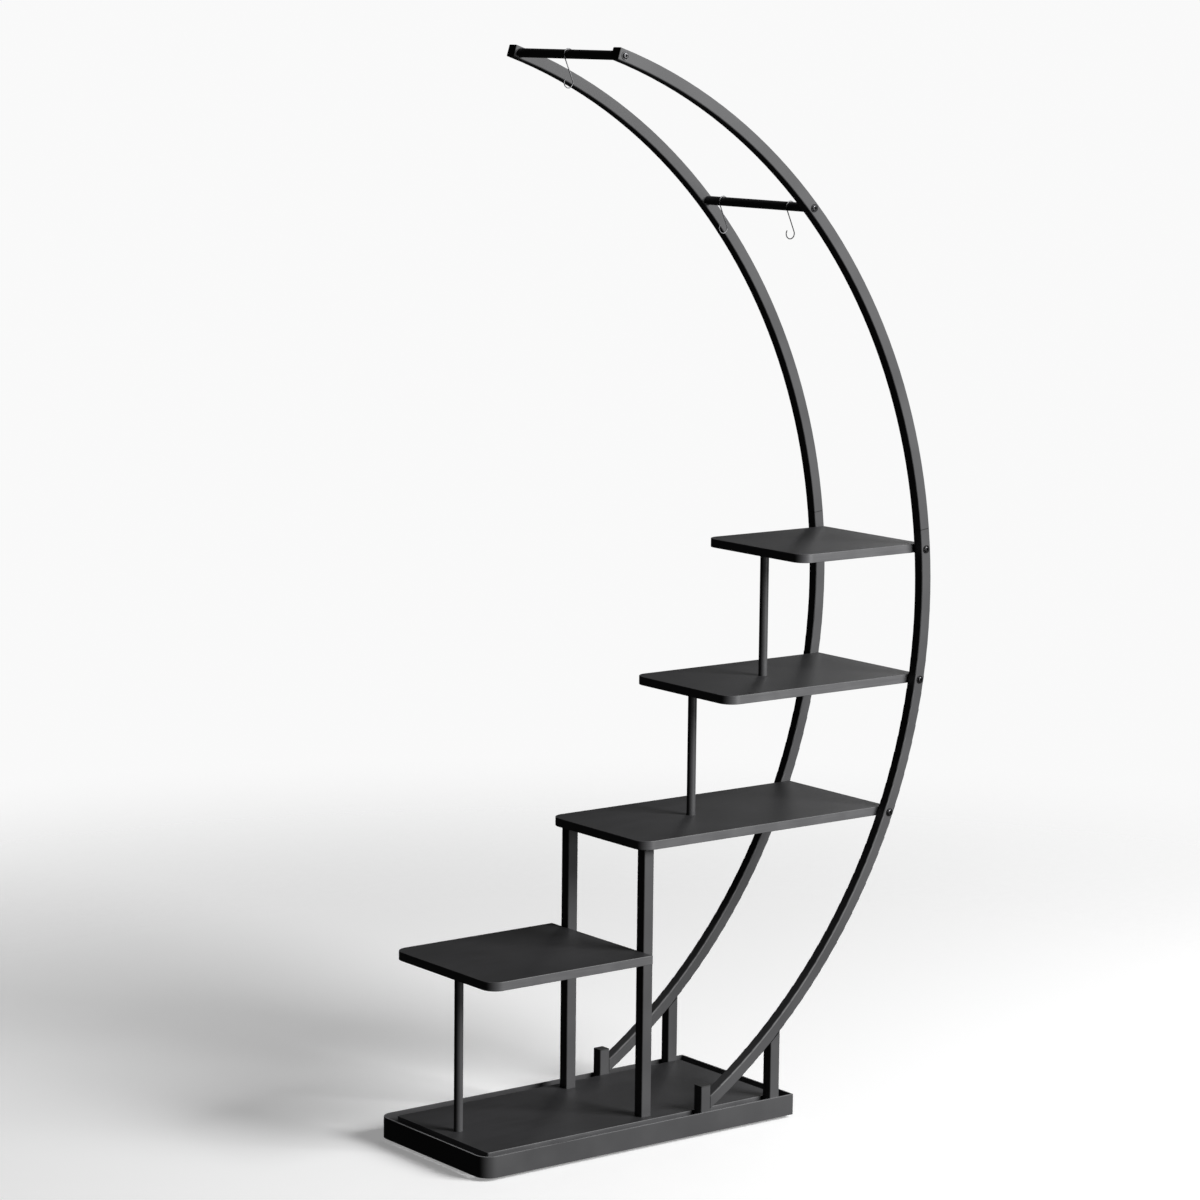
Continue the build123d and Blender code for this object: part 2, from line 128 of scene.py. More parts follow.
class Finish:
    """The nodes of one material, or of the world round the stand."""

    def __init__(self, owner):
        self.owner = owner
        owner.use_nodes = True
        owner.node_tree.nodes.clear()

    def node(self, kind, settings=None, sockets=None, output=0):
        tree = self.owner.node_tree
        made = tree.nodes.new(kind)
        for name, value in (settings or {}).items():
            setattr(made, name, value)
        for name, value in (sockets or {}).items():
            socket = made.inputs[name]
            if isinstance(value, Signal):
                tree.links.new(value.socket, socket)
            else:
                socket.default_value = value
        return Signal(self, made.outputs[output]) if made.outputs else None


# %% [markdown]
# ## Patterns that the finishes share
# Nearly every finish is a plain colour that varies a little: broad patches, a fine grain, and
# corners where the coat is thinner. Each helper below returns such a pattern as a number from
# about 0 to 1. They read the piece's own coordinates in metres, so a scale of 1000 repeats
# about once a millimetre whatever the piece's size.


# %% Helpers for patterns
def new_finish(name):
    """An empty finish and the coordinates of the piece that wears it."""
    finish = Finish(bpy.data.materials.new(name))
    return finish, finish.node("ShaderNodeTexCoord", output="Object")


def stretched(finish, place, x, y, z):
    return finish.node("ShaderNodeMapping", sockets={"Vector": place, "Scale": (x, y, z)})


def grain(finish, place, scale, detail=2.0, roughness=0.5):
    return finish.node(
        "ShaderNodeTexNoise",
        sockets={"Vector": place, "Scale": scale, "Detail": detail, "Roughness": roughness},
    )


noise_span = (0.3, 0.7)  # nearly all of a noise lies in here


def between(finish, value, low, high):
    """Spreads the part of a pattern between low and high over 0 to 1."""
    return finish.node(
        "ShaderNodeMapRange",
        {"interpolation_type": "SMOOTHSTEP"},
        {"Value": value, "From Min": low, "From Max": high},
    )


# A Mix node has sockets for numbers, for vectors and for colours. These are the ones for colours.
mix_share, mix_first, mix_second, mix_result = 0, 6, 7, 2


def blend_colours(finish, share, first, second):
    """From the first colour at a share of 0 to the second at 1."""
    first, second = [(*c, 1) if isinstance(c, tuple) else c for c in (first, second)]
    sockets = {mix_share: share, mix_first: first, mix_second: second}
    return finish.node("ShaderNodeMix", {"data_type": "RGBA"}, sockets, mix_result)


def raised(finish, height, distance, strength, under=None):
    """A bumpy skin, or one more layer of bumps on the skin under it."""
    sockets = {"Height": height, "Distance": distance, "Strength": strength}
    if under is not None:
        sockets["Normal"] = under
    return finish.node("ShaderNodeBump", sockets=sockets)


def facing(finish, axis):
    """How squarely the surface faces along an axis of the stand: 0 across it, 1 along it."""
    normal = finish.node("ShaderNodeNewGeometry", output="Normal")
    return abs(finish.node("ShaderNodeSeparateXYZ", sockets={"Vector": normal}, output=axis))


def surface(finish, colour, roughness, normal, **fixed):
    """The last step of a finish. Values in fixed are the same all over and set on the shader."""
    sockets = {"Base Color": colour, "Roughness": roughness, "Normal": normal}
    for name, value in fixed.items():
        sockets[name.replace("_", " ")] = value
    shader = finish.node("ShaderNodeBsdfPrincipled", sockets=sockets)
    finish.node("ShaderNodeOutputMaterial", sockets={"Surface": shader})
    print("finish:", finish.owner.name, len(finish.owner.node_tree.nodes), "nodes")
    return finish.owner


# %% [markdown]
# ## Powder coat on the steel
# Powder coat is sprayed as dry dust and baked until it flows. It dries with a fine orange-peel
# skin, gathers slightly in patches and thins out over corners. The values below describe that
# coat: its colours, how finely each pattern repeats, how high its bumps are and how rough it is.

# %% Values of the coat
coat_colour = (0.072, 0.072, 0.074)
coat_dark = (0.058, 0.058, 0.060)
# Lighter corners: worn coat and a painted edge highlight.
worn_and_highlight_colour = (0.105, 0.105, 0.108)
# Painted highlight on the faces of the base band that turn up and down.
top_highlight_colour = (0.17, 0.17, 0.175)
coat_gloss = 0.26
coat_roughness = 0.40
patch_scale = 9.0
patch_roughness = 0.10
peel_scale = 620.0
peel_height = 0.00012
peel_strength = 0.35
dust_scale = 1500.0
dust_height = 0.00004
dust_strength = 0.25
dust_roughness = 0.06

# %% [markdown]
# ## Where the coat is worn, and where highlights are painted
# The corners are painted lighter in patches: partly coat worn thin by handling, partly a painted
# highlight along the edges. A tube's corners are found from the way the surface faces: a corner
# faces partly to the front, a flat side fully or not at all. The product `4 * t * (1 - t)` is 1
# half way between the two and 0 at both ends. On the base band a painted highlight lightens, in
# patches, the faces that turn up and down, which shows as a light line along the top edge. Both
# are touches that take the coat's colour and return it changed.

# %% Worn and highlighted corners, and a painted highlight on the top
corner_patch_scale = 60.0
corner_patch_span = (0.42, 0.62)
corner_span = (0.55, 1.0)
corner_wear_and_highlight = 0.4
upper_span = (0.3, 0.8)
top_highlight_span = (0.2, 0.5)


# Corners painted lighter: partly wear, partly a painted highlight along the edges.
def worn_and_highlit_corners(finish, place, colour):
    along = facing(finish, "Y")
    turned = along * along
    corner = between(finish, 4.0 * turned * (1.0 - turned), *corner_span)
    patchy = between(finish, grain(finish, place, corner_patch_scale, detail=4.0), *corner_patch_span)
    return blend_colours(finish, corner * patchy * corner_wear_and_highlight, colour, worn_and_highlight_colour)


# Painted highlight: the faces that turn up and down are painted lighter in patches.
def painted_top_highlight(finish, place, colour):
    upper = between(finish, facing(finish, "Z"), *upper_span)
    patchy = between(finish, grain(finish, place, patch_scale, detail=4.0), *top_highlight_span)
    return blend_colours(finish, upper * patchy, colour, top_highlight_colour)


# %% [markdown]
# ## The painted shadow in the arches' seam
# The arches are two halves that meet over a sleeve, and the seam between them lies in shade. That
# shade is painted into the coat's colour. The seam lies in a plane through the middle of the
# arch's circle, so the distance from that plane is one dot product. Where it is under half a
# millimetre the colour turns nearly black, a painted shadow. The circle's middle and the
# seam's angle are worked out from the boxes of the measured pieces.

# %% Painted seam shadow
# Nearly black: the painted shadow in the seam.
seam_shadow_colour = (0.004, 0.004, 0.004)
seam_half_width = 0.0005
seam_soft_edge = 0.0002
arch_inner, arch_middle, arch_outer = 0.950, 0.960, 0.970

top_bar_low, top_bar_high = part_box("top_crossbar")
top_bar = (top_bar_low + top_bar_high) / 2
arch_centre_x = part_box("front_lower_arch")[1].x - arch_outer
arch_centre_z = top_bar.z - sqrt(arch_middle**2 - (top_bar.x - arch_centre_x) ** 2)
seam_angle = asin((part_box("front_upper_arch")[0].z - arch_centre_z) / arch_inner)
print("arch centre:", arch_centre_x, arch_centre_z, "seam at", degrees(seam_angle), "degrees")


# Painted shadow: a narrow band along the seam is painted nearly black.
def painted_seam_shadow(finish, place, colour):
    across = Vector((-sin(seam_angle), 0, cos(seam_angle)))
    reach = across.dot(Vector((arch_centre_x, 0, arch_centre_z)))
    sockets = {0: place, 1: tuple(across)}
    height = finish.node("ShaderNodeVectorMath", {"operation": "DOT_PRODUCT"}, sockets, output=1)
    away = abs(height + -reach)
    past = between(finish, away, seam_half_width, seam_half_width + seam_soft_edge)
    return blend_colours(finish, past, seam_shadow_colour, colour)


# %% [markdown]
# ## The coat itself
# A recipe can now mix the coat and lay any of the touches over its colour. Two layers of bumps
# lie on each other: the orange peel, and the finer dust that it dried from.


# %% Powder coat
def powder_coat(name, *touches):
    """The coat, and any touches that change its colour in places."""
    finish, place = new_finish(name)
    patches = grain(finish, place, patch_scale, detail=3.0)
    dust = grain(finish, place, dust_scale, detail=1.0)
    colour = blend_colours(finish, between(finish, patches, *noise_span), coat_dark, coat_colour)
    for touch in touches:
        colour = touch(finish, place, colour)
    peel = grain(finish, place, peel_scale, roughness=0.6)
    skin = raised(finish, peel, peel_height, peel_strength)
    skin = raised(finish, dust, dust_height, dust_strength, under=skin)
    roughness = coat_roughness + patch_roughness * patches + dust_roughness * dust
    return surface(finish, colour, roughness, skin, Specular_IOR_Level=coat_gloss)


tube_coat = powder_coat("powder_coat_on_square_tube", worn_and_highlit_corners)
arch_coat = powder_coat("powder_coat_on_arch", worn_and_highlit_corners, painted_seam_shadow)
band_coat = powder_coat("powder_coat_on_base_band", painted_top_highlight)
plain_coat = powder_coat("powder_coat_on_round_tube")

# %% [markdown]
# ## Black laminate on the boards
# The shelves are fibreboard under a thin black laminate, pressed against a plate with a fine
# pebbled pattern. The skin reflects softly, more so where hands have smoothed it. Cells of
# uneven size give the pebbles, and broad noise gives the smoother places.

# %% Laminate
laminate_colour = (0.030, 0.030, 0.031)
laminate_light = (0.039, 0.039, 0.041)
laminate_gloss = 0.5
laminate_roughness = 0.38
pebble_scale = 850.0
pebble_blur = 0.6
pebble_height = 0.00008
pebble_strength = 0.5
pebble_roughness = 0.06
wave_scale = 240.0
wave_strength = 0.12
smoothed_scale = 7.0
smoothed_share = 0.6
wiped_along = (3.0, 26.0, 3.0)
wiped_scale = 5.0
wiped_share = 0.4
wiped_roughness = 0.07
laminate_span = (0.35, 0.65)


def laminate(name):
    finish, place = new_finish(name)
    pebbles = finish.node(
        "ShaderNodeTexVoronoi",
        {"feature": "SMOOTH_F1"},
        {"Vector": place, "Scale": pebble_scale, "Smoothness": pebble_blur},
    )
    smoothed = grain(finish, place, smoothed_scale, detail=4.0, roughness=0.55)
    wiped = grain(finish, stretched(finish, place, *wiped_along), wiped_scale, detail=3.0)
    light = between(finish, smoothed_share * smoothed + wiped_share * wiped, *laminate_span)
    colour = blend_colours(finish, light, laminate_colour, laminate_light)
    skin = raised(finish, pebbles, pebble_height, pebble_strength)
    waves = grain(finish, place, wave_scale, detail=3.0)
    skin = raised(finish, waves, pebble_height, wave_strength, under=skin)
    roughness = laminate_roughness + wiped_roughness * wiped + pebble_roughness * pebbles
    return surface(finish, colour, roughness, skin, Specular_IOR_Level=laminate_gloss)


board_laminate = laminate("black_board_laminate")

# %% [markdown]
# ## The band round each board's edge
# A strip of the same black is glued round the edge with hot glue and trimmed flush with a
# cutter, which leaves faint lines along it. Noise that is squeezed across the strip and
# stretched along it makes them.

# %% Edge band
band_colour = (0.072, 0.072, 0.075)
band_light = (0.100, 0.100, 0.103)
band_gloss = 0.5
band_roughness = 0.40
band_span = (0.35, 0.7)
band_patch_scale = 22.0
trim_lines = (14.0, 14.0, 900.0)
trim_height = 0.00006
trim_strength = 0.3
trim_roughness = 0.10
band_pebble_strength = 0.2


def edge_band(name):
    finish, place = new_finish(name)
    trimmed = grain(finish, stretched(finish, place, *trim_lines), 1.0, detail=3.0)
    patches = grain(finish, place, band_patch_scale, detail=3.0)
    light = between(finish, 0.5 * trimmed + 0.5 * patches, *band_span)
    colour = blend_colours(finish, light, band_colour, band_light)
    skin = raised(finish, trimmed, trim_height, trim_strength)
    pebbles = grain(finish, place, pebble_scale)
    skin = raised(finish, pebbles, trim_height, band_pebble_strength, under=skin)
    roughness = band_roughness + trim_roughness * trimmed
    return surface(finish, colour, roughness, skin, Specular_IOR_Level=band_gloss)


board_edge = edge_band("black_board_edge_band")

# %% [markdown]
# ## Metal parts: bolts, zinc plated steel and hook wire
# Black bolts are steel with a thin dark oxide, so they still reflect like metal. Nuts, screws
# and the feet's stems are zinc plated: pale, slightly blue and cloudy. The S hooks are drawn
# from wire, and the die leaves fine lines along it before it is plated. One recipe covers all
# three, with other colours and another share of metal.

# %% Metals
along_the_line = (1.0, 1.0, 0.15)
line_height = 0.00003
cloud_height = 0.00005


def metal(name, dark, light, metallic, smooth, rough, cloud_scale, line_scale, line_depth):
    """Clouded and lined metal. Its roughness goes from smooth to rough with the clouds."""
    finish, place = new_finish(name)
    clouds = grain(finish, place, cloud_scale, detail=4.0, roughness=0.6)
    lines = grain(finish, stretched(finish, place, *along_the_line), line_scale)
    colour = blend_colours(finish, between(finish, clouds, *noise_span), dark, light)
    skin = raised(finish, lines, line_height, line_depth)
    skin = raised(finish, clouds, cloud_height, line_depth / 2, under=skin)
    roughness = smooth + (rough - smooth) * clouds
    return surface(finish, colour, roughness, skin, Metallic=metallic)


bolt_oxide = metal(
    "black_oxide_bolt",
    dark=(0.060, 0.060, 0.062),
    light=(0.095, 0.095, 0.098),
    metallic=0.9,
    smooth=0.20,
    rough=0.28,
    cloud_scale=300.0,
    line_scale=2500.0,
    line_depth=0.1,
)
zinc_plate = metal(
    "zinc_plated_steel",
    dark=(0.50, 0.51, 0.54),
    light=(0.66, 0.67, 0.69),
    metallic=1.0,
    smooth=0.28,
    rough=0.50,
    cloud_scale=140.0,
    line_scale=1800.0,
    line_depth=0.35,
)
wire_plate = metal(
    "plated_hook_wire",
    dark=(0.13, 0.13, 0.135),
    light=(0.22, 0.22, 0.225),
    metallic=1.0,
    smooth=0.38,
    rough=0.52,
    cloud_scale=220.0,
    line_scale=2600.0,
    line_depth=0.35,
)

# %% [markdown]
# ## Moulded plastic: tube plugs and feet
# Plugs and pads are moulded in polythene. The tool is spark eroded, which leaves an even fine
# texture, and the plastic shines only dully. Pads pick up a little dust near the floor.

# %% Plastics
plastic_gloss = 0.45
plastic_roughness = 0.5
pit_scale = 1900.0
pit_height = 0.00005
pit_strength = 0.45
pit_roughness = 0.16
flow_scale = 35.0
flow_share = 0.35
settled_scale = 160.0
settled_span = (0.4, 0.65)
settled_share = 0.4


def moulded(name, clean, dusted, dust_reaches):
    """Pitted plastic, dusted from the floor up to a height."""
    finish, place = new_finish(name)
    pits = grain(finish, place, pit_scale, roughness=0.7)
    flow = grain(finish, place, flow_scale, detail=3.0)
    up = finish.node("ShaderNodeSeparateXYZ", sockets={"Vector": place}, output="Z")
    low_down = 1.0 - between(finish, up, 0.0, dust_reaches)
    settled = grain(finish, place, settled_scale, detail=3.0)
    dusty = low_down * between(finish, settled, *settled_span)
    shade = between(finish, flow, *noise_span) * flow_share + dusty * settled_share
    colour = blend_colours(finish, shade, clean, dusted)
    skin = raised(finish, pits, pit_height, pit_strength)
    roughness = plastic_roughness + pit_roughness * pits
    return surface(finish, colour, roughness, skin, Specular_IOR_Level=plastic_gloss)


plug_plastic = moulded(
    "black_tube_plug_plastic",
    clean=(0.020, 0.020, 0.020),
    dusted=(0.032, 0.032, 0.033),
    dust_reaches=0.01,
)
pad_plastic = moulded(
    "black_foot_pad_plastic",
    clean=(0.018, 0.018, 0.019),
    dusted=(0.070, 0.067, 0.062),
    dust_reaches=0.0035,
)

# %% [markdown]
# ## Dress the measured pieces
# Each measured piece names the finish it was drawn for in its material slot. A dictionary from
# slot to material replaces them all. The arches, the base band and the round tubes have coats
# of their own: the arches carry a painted shadow in their seam, the base band a painted highlight
# on its top, and the round tubes have no lighter corners.

# %% Give each piece its finish
finish_of_slot = {
    "black_steel": tube_coat,
    "black_laminate": board_laminate,
    "black_edge_band": board_edge,
    "black_bolt": bolt_oxide,
    "zinc_steel": zinc_plate,
    "hook_steel": wire_plate,
    "black_plastic": plug_plastic,
    "foot_plastic": pad_plastic,
}
own_coat = {
    "front_lower_arch": arch_coat,
    "front_upper_arch": arch_coat,
    "rear_lower_arch": arch_coat,
    "rear_upper_arch": arch_coat,
    "base_rim": band_coat,
    "base_straps": plain_coat,
    "low_round_post": plain_coat,
    "upper_round_post": plain_coat,
    "top_round_post": plain_coat,
    "top_crossbar": plain_coat,
    "hook_crossbar": plain_coat,
}
for name, piece in frame["nodes"].items():
    for slot in piece.material_slots:
        drawn_for = slot.material.name.split(".")[0]
        slot.material = own_coat.get(name, finish_of_slot[drawn_for])
print("dressed", len(frame["nodes"]), "pieces")

# %% [markdown]
# ## Pieces that the drawing leaves plain
# A measured drawing shows a screw thread as a smooth rod and says nothing of weld beads. The
# next steps build those in mesh code. All of them use the same few helpers. A ring of points
# round a middle is the cross-section, a skin joins one ring to the next, and `make_piece` turns
# the result into an object that wears a finish and rides on the body that carries it.

# %% Helpers for new pieces
sharp_over = radians(40)


def circle(count):
    """The directions of evenly spaced points round a circle, as cosines and sines."""
    return [(cos(tau * n / count), sin(tau * n / count)) for n in range(count)]


def skin_over(rings):
    """Points and faces of a closed skin over rings that all have the same number of points."""
    count = len(rings[0])
    points = [point for ring in rings for point in ring]
    faces = []
    for k in range(len(rings) - 1):
        low = k * count
        high = low + count
        for n in range(count):
            m = (n + 1) % count
            faces.append((low + n, low + m, high + m, high + n))
    faces.append(tuple(range(count)))
    faces.append(tuple(range(len(points) - count, len(points))))
    return points, faces


def make_piece(name, skins, finish, body):
    """One object from any number of skins."""
    all_points = []
    all_faces = []
    for points, faces in skins:
        first = len(all_points)
        all_points += points
        all_faces += [tuple(first + n for n in face) for face in faces]
    mesh = bpy.data.meshes.new(name)
    mesh.from_pydata(all_points, [], all_faces)
    shell = bmesh.new()
    shell.from_mesh(mesh)
    bmesh.ops.recalc_face_normals(shell, faces=shell.faces)
    shell.to_mesh(mesh)
    shell.free()
    mesh.materials.append(finish)
    mesh.shade_smooth()
    mesh.set_sharp_from_angle(angle=sharp_over)
    piece = bpy.data.objects.new(name, mesh)
    bpy.context.scene.collection.objects.link(piece)
    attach(piece, body)
    print("made", name, len(all_points), "points")
    return piece


# %% [markdown]
# ## S hooks: the bent line
# An S hook is a straight length of wire bent round two pins. The loop that goes over the bar is
# wound almost shut, the other stays open for a basket's ring. The wire's middle line lies in
# one flat plane and is made of two arcs and the straight strand between them. The strand
# touches both circles, and the arc sine gives the angle that it leans at.

# %% Line of an S hook
bar_gap = 0.0003
top_end_angle = radians(-10)
tip_angle = radians(-220)
bend_step = radians(4)
strand_steps = 12


def arc_points(middle, radius, start, end):
    steps = round(abs(end - start) / bend_step)
    angles = [start + (end - start) * k / steps for k in range(steps + 1)]
    return [middle + radius * Vector((cos(a), sin(a))) for a in angles]


def hook_line(spacing, loop_radius, wire_radius):
    """The wire's middle line in its own flat plane, with the bar at the origin."""
    lean = asin(2 * loop_radius / spacing)
    end_room = wire_radius / loop_radius
    upper = arc_points(Vector((0, 0)), loop_radius, top_end_angle + end_room, pi + lean)
    lower = arc_points(Vector((0, -spacing)), loop_radius, lean, tip_angle + end_room)
    strand = [upper[-1].lerp(lower[0], k / strand_steps) for k in range(1, strand_steps)]
    return upper + strand + lower


# %% [markdown]
# ## S hooks: the wire round the line
# Because the bend is flat, each ring of the wire's skin needs only a point, the direction along
# the wire and the direction of the bar. Both ends are tumbled round so that they don't scratch,
# so the first and the last ring become a small dome of rings. The hook's size is read from its
# own box, from the bar that it hangs on and from the place of its lower loop.

# %% S hooks
dome_steps = 5
smallest_ring = 0.02
wire_circle = circle(20)
bar_direction = Vector((0, 1, 0))


def wire_rings(line, wire_radius):
    """Rings along the line, drawn in to a dome at each end."""
    turns = [pi / 2 * k / dome_steps for k in range(dome_steps + 1)]
    dome = [
        (wire_radius * cos(turn), wire_radius * max(sin(turn), smallest_ring)) for turn in turns
    ]
    last = len(line) - 1
    rings = []
    for k, point in enumerate(line):
        along = (line[min(k + 1, last)] - line[max(k - 1, 0)]).normalized()
        across = along.cross(bar_direction)
        stages = [(0, wire_radius)]
        if k == 0:
            stages = [(-out, size) for out, size in dome]
        if k == last:
            stages = dome[::-1]
        for shift, size in stages:
            middle = point + along * shift
            ring = [middle + size * (across * c + bar_direction * s) for c, s in wire_circle]
            rings.append(ring)
    return rings


def s_hook(node, body, bar_node, loop_mount):
    bar_low, bar_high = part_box(bar_node)
    hook_low, hook_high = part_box(node)
    wire_radius = (hook_high.y - hook_low.y) / 2
    loop_radius = (bar_high.x - bar_low.x) / 2 + bar_gap + wire_radius
    bar = (bar_low + bar_high) / 2
    bar.y = (hook_low.y + hook_high.y) / 2
    mounts = {mount["name"]: mount["pos_m"] for mount in frame["record"]["mounts"]}
    hang = Vector(mounts[loop_mount]) - bar
    spacing = sqrt(hang.x**2 + hang.z**2)
    down = Vector((hang.x, 0, hang.z)).normalized()
    side = Vector((-down.z, 0, down.x))
    flat_line = hook_line(spacing, loop_radius, wire_radius)
    line = [bar + side * point.x - down * point.y for point in flat_line]
    skin = skin_over(wire_rings(line, wire_radius))
    hook = make_piece("bent_" + node, [skin], wire_plate, body)
    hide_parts(node)


s_hook("top_s_hook", "top_s_hook_body", "top_crossbar", "top_hook_loop")
s_hook("front_s_hook", "front_s_hook_body", "hook_crossbar", "front_hook_loop")
s_hook("rear_s_hook", "rear_s_hook_body", "hook_crossbar", "rear_hook_loop")

# %% [markdown]
# ## Threads on the levelling feet
# Each foot turns on an M8 stem. A thread is a ridge that climbs one pitch per turn, so on a
# grid of rings the radius only has to follow the height less the turn: that one line of
# arithmetic makes a true right-handed helix. Under it sit the hexagon collar, turned by a
# spanner, and a plain end that stands in the pad.

# %% Threaded stems
stem_radius = 0.004
thread_pitch = 0.00125
thread_depth = 0.00068
thread_slope = 2.6
rings_per_pitch = 8
collar_gap = 0.0003
collar_high = 0.003
collar_chamfer = 0.0005
stem_points = 36


def round_ring(middle, height, radii):
    """A level ring whose radius is given point by point."""
    return [
        (middle.x + radius * c, middle.y + radius * s, height)
        for radius, (c, s) in zip(radii, circle(stem_points))
    ]


def thread_radii(height, top):
    """The radius at each point of a ring: a ridge that climbs one pitch in a turn."""
    run_out = min(1.0, (top - height) / thread_pitch)
    radii = []
    for n in range(stem_points):
        phase = (height / thread_pitch - n / stem_points) % 1.0
        ridge = min(1.0, thread_slope * abs(phase - 0.5))
        radii.append(stem_radius - thread_depth * (1 - ridge * run_out))
    return radii


def stem(corner):
    node = "foot_stem_" + corner
    low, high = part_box(node)
    middle = (low + high) / 2
    flats = high.y - low.y
    plain = [stem_radius] * stem_points
    turns = [tau * n / stem_points for n in range(stem_points)]
    hexagon = [flats / 2 / cos(turn % (pi / 3) - pi / 6) for turn in turns]
    eased = [min(radius, (flats + collar_chamfer) / 2) for radius in hexagon]
    collar_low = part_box("foot_pad_" + corner)[1].z + collar_gap
    collar_top = collar_low + collar_high
    stages = [
        (low.z, plain),
        (collar_low, plain),
        (collar_low, eased),
        (collar_low + collar_chamfer, hexagon),
        (collar_top - collar_chamfer, hexagon),
        (collar_top, eased),
    ]
    steps = round((high.z - collar_top) / thread_pitch * rings_per_pitch)
    for k in range(steps + 1):
        height = collar_top + (high.z - collar_top) * k / steps
        stages.append((height, thread_radii(height, high.z)))
    skin = skin_over([round_ring(middle, height, radii) for height, radii in stages])
    body = "stem_" + corner
    made = make_piece("threaded_stem_" + corner, [skin], zinc_plate, body)
    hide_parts(node)


for corner in ("front_left", "front_right", "rear_left", "rear_right"):
    stem(corner)

# %% [markdown]
# ## Where the small fasteners stand
# Eight pan head screws hold the base board from below, and four nuts are welded to the straps.
# Their places are read from the measured pieces. The points of a piece are sorted into groups
# that lie close together, and each group is one screw or one nut.

# %% Places of upright fasteners
one_fastener_reach = 0.012


def standing_places(node):
    """The middle in X and Y of each separate upright screw or nut of a measured piece."""
    groups = []
    for vertex in frame["nodes"][node].data.vertices:
        flat = vertex.co.xy
        near = [group for group in groups if (group[0] - flat).length < one_fastener_reach]
        if near:
            near[0].append(flat)
        else:
            groups.append([flat])
    middles = []
    for group in groups:
        xs = [point.x for point in group]
        ys = [point.y for point in group]
        middles.append(Vector(((min(xs) + max(xs)) / 2, (min(ys) + max(ys)) / 2)))
    return middles


screw_places = standing_places("board_screws")
nut_places = standing_places("foot_nuts")
print("found", len(screw_places), "screws and", len(nut_places), "nuts")

# %% [markdown]
# ## Small screws under the base
# The head of a screw is a low dome with a cross pressed into it. Here it is a disc of rings
# whose height drops wherever a point lies in one of the cross's two arms.

# %% Board screws
screw_head_radius = 0.004
screw_head_high = 0.002
dome_share = 0.96
cross_arm = 0.0022
cross_arm_slope = 0.0005
cross_half_width = 0.00055
cross_wall_slope = 0.00025
cross_depth = 0.0012
head_rings = 16
head_circle = circle(48)


def inside(distance, edge, slope):
    """1 up to an edge, and down to 0 over a slope past it."""
    return 1 - min(1.0, max(0.0, (abs(distance) - edge) / slope))


def head_drop(x, y):
    """How far below its seat the head's face lies: a dome with a cross pressed in."""
    out = dome_share * sqrt(x * x + y * y) / screw_head_radius
    cross = max(
        inside(a, cross_half_width, cross_wall_slope) * inside(b, cross_arm, cross_arm_slope)
        for a, b in ((x, y), (y, x))
    )
    return screw_head_high * sqrt(1 - out * out) - cross_depth * cross


def head_ring(place, radius, height):
    """A ring round a screw's middle, with a height for each of its points."""
    offsets = [(radius * c, radius * s) for c, s in head_circle]
    return [(place.x + x, place.y + y, height(x, y)) for x, y in offsets]


def screw_head(place, seat):
    rings = [head_ring(place, screw_head_radius, lambda x, y: seat)]
    for k in range(head_rings, 0, -1):
        radius = screw_head_radius * k / head_rings
        rings.append(head_ring(place, radius, lambda x, y: seat - head_drop(x, y)))
    return skin_over(rings)


screw_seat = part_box("board_screws")[0].z + screw_head_high
heads = [screw_head(place, screw_seat) for place in screw_places]
screws = make_piece("cross_head_screws", heads, zinc_plate, "stand")
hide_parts("board_screws")

# %% [markdown]
# ## Weld beads on the tubes
# The tubes and straps are joined with an electric arc. The molten steel cools in overlapping
# scales, so a bead is a thin sausage whose thickness ripples along its length. It is half sunk
# in the corner between the two pieces and coated with them. Where a post meets the curved arch,
# the height of the corner comes from the arch's own circle.

# %% Weld beads
bead_radius = 0.0022
bead_scale = 0.0016
rings_per_scale = 4
bead_thinnest = 0.78
bead_wander = 0.08
bead_wander_rate = 700
bead_circle = circle(10)
tube_corner = 0.002


def bead(start, end, radius, number):
    """A rippled bead. Its number shifts the ripple, so that no two beads are alike."""
    length = (end - start).length
    along = (end - start).normalized()
    across = along.orthogonal().normalized()
    other = along.cross(across)
    steps = round(length / bead_scale * rings_per_scale)
    rings = []
    for k in range(steps + 1):
        run = length * k / steps
        ripple = bead_thinnest + (1 - bead_thinnest) * abs(sin(pi * run / bead_scale + number))
        wander = 1 + bead_wander * sin(run * bead_wander_rate + number)
        near_end = min(1.0, max(smallest_ring, min(run, length - run) / radius))
        size = radius * ripple * wander * sqrt(near_end * (2 - near_end))
        middle = start + along * run
        rings.append([middle + size * (across * c + other * s) for c, s in bead_circle])
    return skin_over(rings)


def weld(name, runs, radius=bead_radius):
    beads = [bead(Vector(a), Vector(b), radius, n) for n, (a, b) in enumerate(runs)]
    make_piece(name, beads, tube_coat, "stand")


tube_runs = []
for side in ("front", "rear"):
    foot = side + "_arch_foot"
    strut = side + "_strut"
    corners = [
        (foot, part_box(foot)[1].x, arch_inner),
        (strut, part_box(strut)[0].x, arch_outer),
        (strut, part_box(strut)[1].x, arch_outer),
    ]
    for piece, x, radius in corners:
        low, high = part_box(piece)
        z = arch_centre_z - sqrt(radius**2 - (x - arch_centre_x) ** 2)
        tube_runs.append(((x, low.y + tube_corner, z), (x, high.y - tube_corner, z)))
weld("tube_welds", tube_runs)

# %% [markdown]
# ## Weld beads under the base
# From below, each strap is welded to the base band across both of its ends, and each nut is
# tacked to its strap along three of its six sides. A strap's two edges are found by sorting
# the X values of its points: a step wider than any strap is the gap to the next one.

# %% Welds under the base
wider_than_a_strap = 0.05
strap_end_room = 0.002
nut_bead_radius = 0.0013
nut_corner_out = 0.0075
nut_sides = 6
tacked_sides = (0, 2, 4)
tack_from, tack_to = 0.15, 0.85

